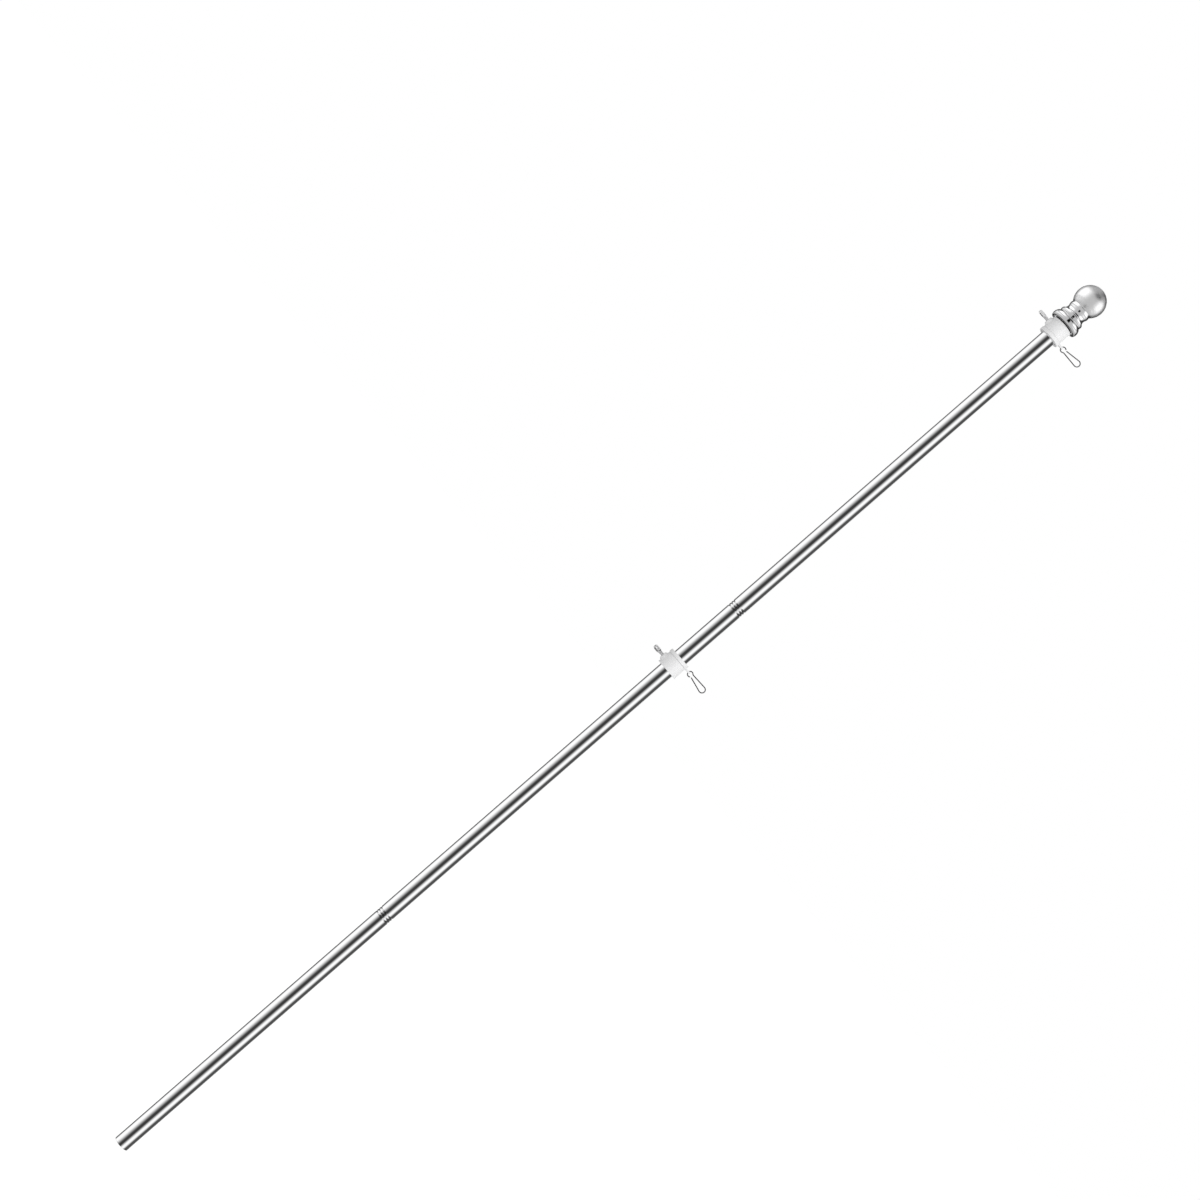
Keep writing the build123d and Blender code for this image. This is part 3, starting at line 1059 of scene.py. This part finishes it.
    def clip(self) -> None:
        """The clip: a round wire along a flat path of bends, with rounded ends.

        The heading changes evenly along each bend, and the path is the running sum of short
        steps (cos heading, sin heading). The wire's radius falls to its end as a quarter circle.
        """
        angles = (*self.eye_open, self.leg[1], self.gate[1])
        low_open, high_open, slope, gate_slope = map(math.radians, angles)
        eye_turn = low_open + high_open - 2 * math.pi
        neck_turn = math.pi / 2 - high_open + slope
        bow_turn = -(math.pi + slope + gate_slope)
        bends = [
            (self.eye * abs(eye_turn), eye_turn), (self.neck_bend * abs(neck_turn), neck_turn),
            (self.leg[0], 0), (self.bow * abs(bow_turn), bow_turn), (self.gate[0], 0),
        ]
        step, rounding, blunt = 0.1 * MM, 0.5 * MM, 0.02
        headings, steps = [], []
        heading = -low_open - math.pi / 2
        for length, turn in bends:
            count = max(2, round(length / step))
            headings.append(heading + turn * (np.arange(count) + 0.5) / count)
            steps.append(np.full(count, length / count))
            heading += turn
        heading, step = (np.concatenate(rows)[:, None] for rows in (headings, steps))
        eye_x = self.lug_reach + self.eye
        eye_z = self.body[1] + self.gap + self.lug[2] / 2 - self.lug[3]
        x = eye_x + self.eye * math.cos(low_open) + np.cumsum(np.cos(heading) * step, axis=0)
        z = eye_z - self.eye * math.sin(low_open) + np.cumsum(np.sin(heading) * step, axis=0)
        gone = np.cumsum(step, axis=0)
        to_end = np.minimum(gone, gone[-1] - gone)
        radius = self.wire * np.sqrt(1 - (1 - np.clip(to_end / rounding, blunt, 1)) ** 2)
        across, y = radius * np.cos(circle(28)), radius * np.sin(circle(28))
        points = spread(x - across * np.sin(heading), y, z + across * np.cos(heading))
        tips = [(x[end, 0], 0, z[end, 0]) for end in (0, -1)]
        self.show("clip", [grid_shape(points, tips)], WIRE_FINISH, 60)

    def build(self) -> None:
        """Makes the ring's four pieces."""
        self.collar()
        self.spin_ring()
        self.thumb_screw()
        self.clip()


@dataclass(frozen=True)
class Card:
    """A soft-edged patch on a reflector, by angle round the pole from the camera's side.

    Args:
        start: Degrees where it begins and where it is full.
        stop: Degrees where it begins to end and where it is gone.
        level: Its brightness, where 1 is white.
        low: Heights where it begins and where it is full.
        high: Heights where it begins to end and where it is gone.
    """

    start: Pair
    stop: Pair
    level: float
    low: Pair | None = None
    high: Pair | None = None

    def mask(self, turn: Wire, height: Wire) -> Wire:
        """The product of a smooth step at each side.

        Args:
            turn: Degrees round the pole.
            height: Height along it.

        Returns:
            1 on the card and 0 beside it.
        """
        mask = turn.above(*self.start) * (1 - turn.above(*self.stop))
        if self.low:
            mask = mask * height.above(*self.low)
        if self.high:
            mask = mask * (1 - height.above(*self.high))
        return mask


@dataclass(frozen=True)
class Reflector:
    """A glowing shell round the pole that only reflections see.

    Args:
        name: Its name.
        profile: Its rows of radius and height.
        level: Its brightness between the cards.
        cards: Its cards.
        span: The degrees round the pole where it starts and ends.
        outer: The card on its outer side.
        brightest: The most that a level can be.
    """

    name: str
    profile: tuple[Pair, ...]
    level: float
    cards: tuple[Card, ...]
    span: Pair = (0, 360)
    outer: Card = Card((-112, -102), (150, 160), 0.85)
    brightest: float = 1.6

    def build(self) -> None:
        """Makes the shell, whose angle 0 faces the camera.

        Its brightness is its level, and over each card in turn it goes to that card's level by
        the card's mask. From outside it is dark, with the outer card alone.
        """
        points = spun(np.array(self.profile), np.radians(np.linspace(*self.span, 97) - 90))
        number = np.arange(points[..., 0].size).reshape(points.shape[:2])
        shell = mesh_object(self.name, Shape(points.reshape(-1, 3), quads_between(number), NO_TRIS))
        tree = ShaderTree(bpy.data.materials.new(self.name))
        x, y, z = tree.axes()
        turn = x.math("ARCTAN2", x, -1 * y) * (180 / math.pi)
        level = self.level
        for card in self.cards:
            mask = card.mask(turn, z)
            level = level * (1 - mask) + card.level * mask
        inside = tree.node("NewGeometry", output="Backfacing")
        outer = self.outer.level * self.outer.mask(turn, z)
        share = (outer + (level - outer) * inside) / self.brightest
        tree.close(share, tree.glow(0), tree.glow(self.brightest))
        shell.data.materials.append(tree.owner)
        for kind in ("camera", "diffuse", "transmission", "volume_scatter", "shadow"):
            setattr(shell, f"visible_{kind}", False)
        shell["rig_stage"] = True


TENT = Reflector(
    "tent",
    ((0.3, -1.4), (1.6, -1.4), (1.6, 3.4), (0.3, 3.4)),
    1.08,
    (
        Card((-80, -14), (2, 42), 0.045),
        Card((50, 88), (128, 168), 0.08),
        Card((-178, -156), (-132, -107), 0.12),
        Card((-92, -76), (8, 28), 0.02, (1.76, 1.9)),
        Card((-92, -76), (8, 28), 0.02, None, (-0.66, -0.5)),
        Card((60, 78), (140, 168), 0.02, (1.76, 1.9)),
        Card((60, 78), (140, 168), 0.02, None, (-0.66, -0.5)),
        Card((158, 172), (179.8, 180), 0.05, None, (1.4, 1.6)),
        Card((-180, -179.8), (-172, -158), 0.05, None, (1.4, 1.6)),
    ),
)
FINIAL_BELL = Reflector(
    "finial_bell",
    (
        (0.0182, 1.4388), (0.027, 1.4404), (0.05, 1.4408), (0.05, 1.463), (0.11, 1.475),
        (0.11, 1.575), (0.0005, 1.615),
    ),
    0.55,
    (
        Card((-122, -98), (-74, -18), 1.02, (1.4405, 1.446), (1.4525, 1.459)),
        Card((18, 72), (80, 104), 1.0, (1.4405, 1.446), (1.4525, 1.459)),
        Card((-34, -10), (16, 40), 0.56, (1.4635, 1.466), (1.476, 1.484)),
        Card((-124, -100), (-64, -24), 1.35, (1.463, 1.4658), (1.55, 1.59)),
        Card((28, 60), (84, 104), 1.35, (1.463, 1.4658), (1.55, 1.59)),
        Card((99, 114), (179, 180), 0.04),
        Card((-180, -179), (-130, -114), 0.1),
        Card((-180, -179), (179, 180), 0.4, (1.576, 1.588)),
        Card((-24, -6), (38, 60), 0.0, (1.562, 1.574), (1.593, 1.6)),
        Card((34, 56), (112, 132), 0.14, (1.595, 1.601)),
        Card((116, 132), (156, 168), 0.0, (1.57, 1.58), (1.6, 1.606)),
        Card((-180, -179), (179, 180), 0.1, None, (1.439, 1.4393)),
    ),
)
NECK_STRIP = Reflector(
    "neck_strip",
    ((0.026, 1.4412), (0.026, 1.4604)),
    0.55,
    (Card((-9.5, -5), (5, 9.5), 0.0, (1.4412, 1.4434), (1.4576, 1.4604)),),
    (-9.5, 9.5),
)


@dataclass
class Studio:
    """The white surroundings, the lamps and the camera.

    Args:
        tilt: The pole's angle above the frame's lower edge.
        side: The frame's side in pixels.
        tip: The finial's tip in the frame.
        pole_pixels: The pole's length in the frame.
        distance: From the camera to the pole's plane.
        sensor: The camera's sensor width in millimetres.
        world_level: The white surroundings' light on matt surfaces.
        floor_level: The floor's own light.
        lamp_size: The lamps' side.
        reflectors: The shells that the metal reflects.
    """

    tilt: float = 41.01
    side: float = 1200.0
    tip: Pair = (1102.4, 290.8)
    pole_pixels: float = 1300.0
    distance: float = 2.8
    sensor: float = 36.0
    world_level: float = 0.66
    floor_level: float = 1.22
    lamp_size: float = 2.4
    reflectors: tuple[Reflector, ...] = (TENT, FINIAL_BELL, NECK_STRIP)

    def camera(self) -> None:
        """The camera: it looks along +Y, rolled so that the pole rises to the right."""
        tilt = math.radians(self.tilt)
        right = Vector((math.sin(tilt), 0, math.cos(tilt)))
        up = Vector((-math.cos(tilt), 0, math.sin(tilt)))
        back = right.cross(up)
        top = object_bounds()[1].z
        metre = top / self.pole_pixels
        middle = self.side / 2
        from_tip = (middle - self.tip[0]) * metre * right + (self.tip[1] - middle) * metre * up
        data = bpy.data.cameras.new("camera")
        data.sensor_width = self.sensor
        data.lens = self.sensor * self.distance / (self.side * metre)
        camera = bpy.data.objects.new("camera", data)
        place = Vector((0, 0, top)) + from_tip + back * self.distance
        camera.matrix_world = Matrix.Translation(place) @ Matrix((right, up, back)).transposed().to_4x4()
        bpy.context.scene.collection.objects.link(camera)
        bpy.context.scene.camera = camera

    def world(self) -> None:
        """White to the camera and in reflections, and a plain soft level for matt surfaces."""
        world = bpy.data.worlds.new("studio")
        bpy.context.scene.world = world
        tree = ShaderTree(world)
        soft, white = (tree.glow(level, "Background") for level in (self.world_level, 1))
        tree.close(tree.seen(), soft, white, "OutputWorld")

    def floor(self) -> None:
        """A wide pale floor that reads as white and keeps a soft shadow."""
        points = 40.0 * np.array([(-1, -1, 0), (1, -1, 0), (1, 1, 0), (-1, 1, 0)])
        floor = mesh_object("floor", Shape(points, np.array([[0, 1, 2, 3]]), NO_TRIS))
        tree = ShaderTree(bpy.data.materials.new("floor"))
        matt = tree.node("BsdfDiffuse", {"Color": (0.9, 0.9, 0.9, 1)})
        tree.close(0.7 * tree.seen(), matt, tree.glow(self.floor_level))
        floor.data.materials.append(tree.owner)
        floor.visible_glossy = False
        floor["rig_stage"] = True

    def lamp(self, name: str, place: Triple, aim: float, watts: float) -> None:
        """A soft square lamp that reflections don't see.

        Args:
            name: Its name.
            place: Where it hangs.
            aim: Height on the pole that it faces.
            watts: Its power.
        """
        data = bpy.data.lights.new(name, "AREA")
        data.size = self.lamp_size
        data.energy = watts
        lamp = bpy.data.objects.new(name, data)
        lamp.location = place
        lamp.rotation_euler = (Vector(place) - Vector((0, 0, aim))).to_track_quat("Z", "Y").to_euler()
        lamp.visible_glossy = False
        bpy.context.scene.collection.objects.link(lamp)

    def build(self) -> None:
        """Sets the camera, world, tent, floor and lamps."""
        self.camera()
        self.world()
        for reflector in self.reflectors:
            reflector.build()
        self.floor()
        self.lamp("key", (3.0, -2.6, 2.2), 1.1, 70)
        self.lamp("fill", (-2.6, -3.2, 0.4), 0.8, 14)
        bpy.context.scene.view_settings.view_transform = "Standard"


def main() -> None:
    """Builds the studio and every sub-assembly."""
    logging.basicConfig(level=logging.INFO, format="%(name)s: %(message)s")
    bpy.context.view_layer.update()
    for assembly in (Studio(), Pole(), Finial(), *map(FlagRing, RingSide)):
        assembly.build()
        log.info("%s is done", type(assembly).__name__)


if __name__ == "__main__":
    main()
